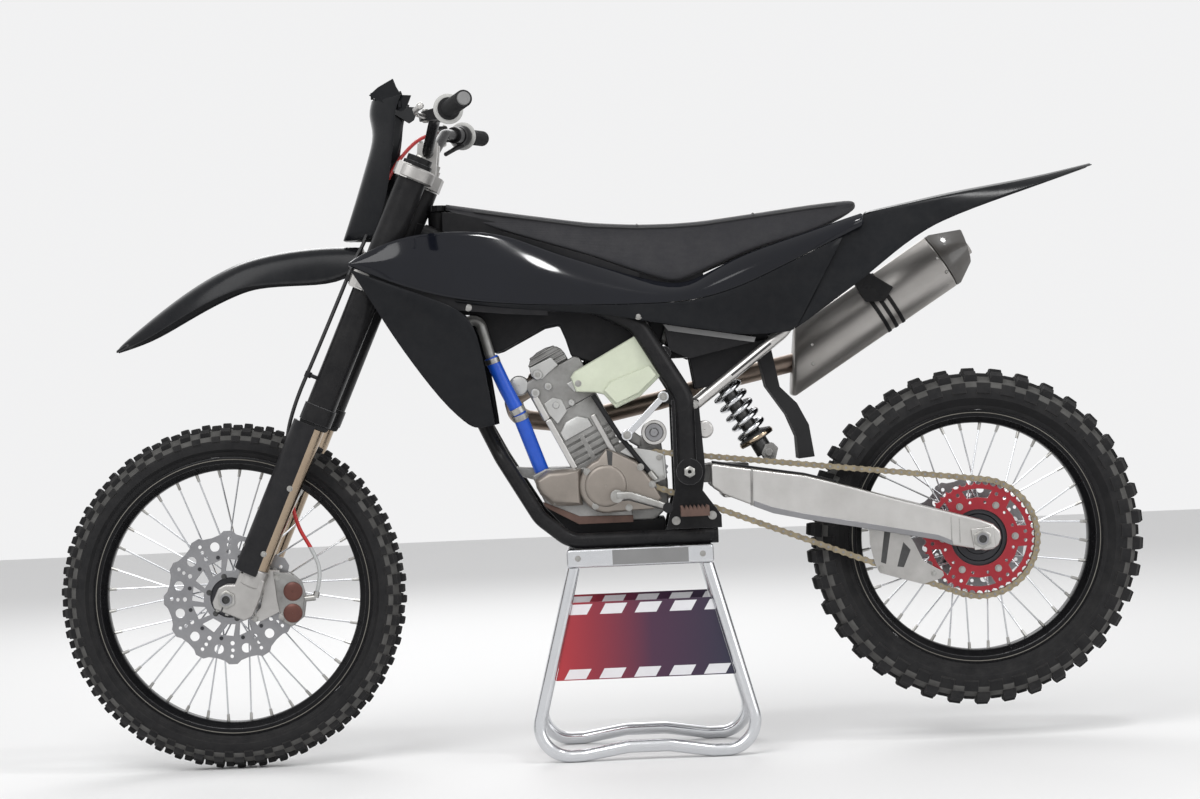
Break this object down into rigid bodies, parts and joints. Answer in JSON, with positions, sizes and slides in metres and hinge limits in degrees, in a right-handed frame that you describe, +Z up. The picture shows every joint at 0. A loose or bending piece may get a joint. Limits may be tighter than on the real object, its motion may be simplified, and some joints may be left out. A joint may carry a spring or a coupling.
{
  "type": "motocross motorcycle on a paddock stand",
  "caption": "Off-road motorcycle with knobbly tyres, upright forks, black plastics and an open engine, held by its lower frame on a fixed paddock stand.",
  "frame": {"origin": "on the floor, midway between the two tyres' outer ends, in the middle plane", "axes": "+X forward, +Y to the rider's left, +Z up"},
  "size_m": [2.173, 0.8206, 1.352],
  "materials": {
    "tyre": "matte black tyre rubber",
    "rim": "black anodised rim",
    "hub": "dark hub with bright spokes",
    "steel": "machined steel",
    "red": "red anodised aluminium",
    "chain": "gold plated chain",
    "alloy": "bare aluminium",
    "black_metal": "satin black paint",
    "black_plastic": "matte black plastic",
    "gloss_black": "gloss black plastic",
    "seat": "textured dark seat cover",
    "rubber": "black rubber",
    "bronze": "brown-grey magnesium paint",
    "cast": "grey cast aluminium",
    "titanium": "titanium grey",
    "blue": "bright blue silicone",
    "milky": "translucent white plastic",
    "gold": "gold-brown plated stanchions",
    "polished": "polished tube",
    "hose": "red braided-line sleeve",
    "panel": "red to dark blue with white slanted stripes"
  },
  "bodies": {
    "chassis": {"main_frame": "black_metal", "cradle": "black_metal", "subframe": "alloy", "swingarm": "alloy", "rear_axle": "steel", "rear_caliper": "alloy", "airbox": "black_plastic", "fuel_tank": "black_plastic", "tank_panels": "gloss_black", "side_plates": "black_plastic", "radiator_wings": "black_plastic", "rear_fender": "black_plastic", "seat": "seat", "radiators": "black_metal", "coolant_hoses": "blue", "crankcase": "cast", "engine_covers": "bronze", "cylinder": "cast", "cylinder_head": "cast", "throttle_body": "cast", "breather_hose": "rubber", "exhaust_pipe": "titanium", "silencer": "titanium", "catch_tank": "milky", "shock": "steel", "chain": "chain", "front_sprocket": "steel", "chain_guide": "alloy", "footpegs": "steel", "foot_controls": "alloy", "stand_legs": "polished", "stand_deck": "polished", "stand_panels": "panel"},
    "front_wheel": {"front_tyre": "tyre", "front_rim": "rim", "front_hub": "hub", "front_disc": "steel"},
    "rear_wheel": {"rear_tyre": "tyre", "rear_rim": "rim", "rear_hub": "hub", "rear_disc": "steel", "rear_sprocket": "red"},
    "steering": {"fork_tubes": "black_metal", "fork_legs": "gold", "fork_guards": "black_plastic", "fork_clamps": "alloy", "front_axle": "steel", "handlebar": "black_metal", "grips": "rubber", "hand_levers": "black_metal", "front_fender": "black_plastic", "number_plate": "black_plastic", "front_caliper": "alloy", "brake_hose": "hose"}
  },
  "joints": [
    {"name": "steering", "type": "hinge", "parent": "chassis", "child": "steering", "pos_m": [0.36468, 0, 1.05418], "axis": [-0.4099, 0, 0.9121], "range_deg": [-43, 43]},
    {"name": "front_wheel_spin", "type": "hinge", "parent": "steering", "child": "front_wheel", "pos_m": [0.7405, 0, 0.346], "axis": [0, 1, 0], "continuous": true},
    {"name": "rear_wheel_spin", "type": "hinge", "parent": "chassis", "child": "rear_wheel", "pos_m": [-0.7495, 0, 0.402], "axis": [0, 1, 0], "continuous": true}
  ]
}
